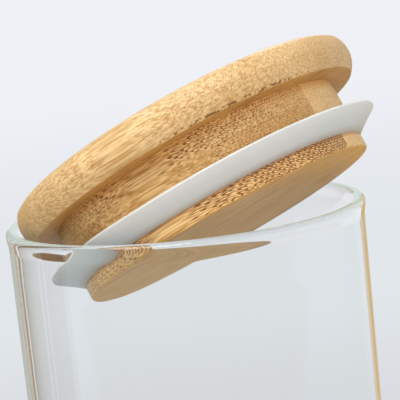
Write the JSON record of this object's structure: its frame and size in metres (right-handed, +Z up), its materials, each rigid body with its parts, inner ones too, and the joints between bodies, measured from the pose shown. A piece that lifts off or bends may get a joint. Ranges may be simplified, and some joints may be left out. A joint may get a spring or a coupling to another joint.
{
  "type": "lidded glass canister",
  "caption": "Straight clear-glass storage canister with a turned bamboo lid and silicone lip seal, the lid leaning half-open in the mouth",
  "frame": {"origin": "centre of the jar's base, on the surface that it stands on", "axes": "+Z up along the jar's axis, +X to the right and +Y away from the viewer in the picture"},
  "size_m": [0.1053, 0.1048, 0.1963],
  "materials": {
    "glass": "clear fire-polished borosilicate",
    "bamboo": "turned and oiled carbonised bamboo",
    "silicone": "translucent moulded silicone"
  },
  "bodies": {
    "jar": {"glass_jar": "glass"},
    "lid": {"foot_ply": "bamboo", "seal_seat_ply": "bamboo", "neck_lower_ply": "bamboo", "neck_upper_ply": "bamboo", "cap_lower_ply": "bamboo", "cap_upper_ply": "bamboo", "seal_ring": "silicone"}
  },
  "joints": [
    {"name": "lid_lift", "type": "slide", "parent": "jar", "child": "lid", "axis": [0, 0, 1], "range_m": [0, 0.1]}
  ]
}
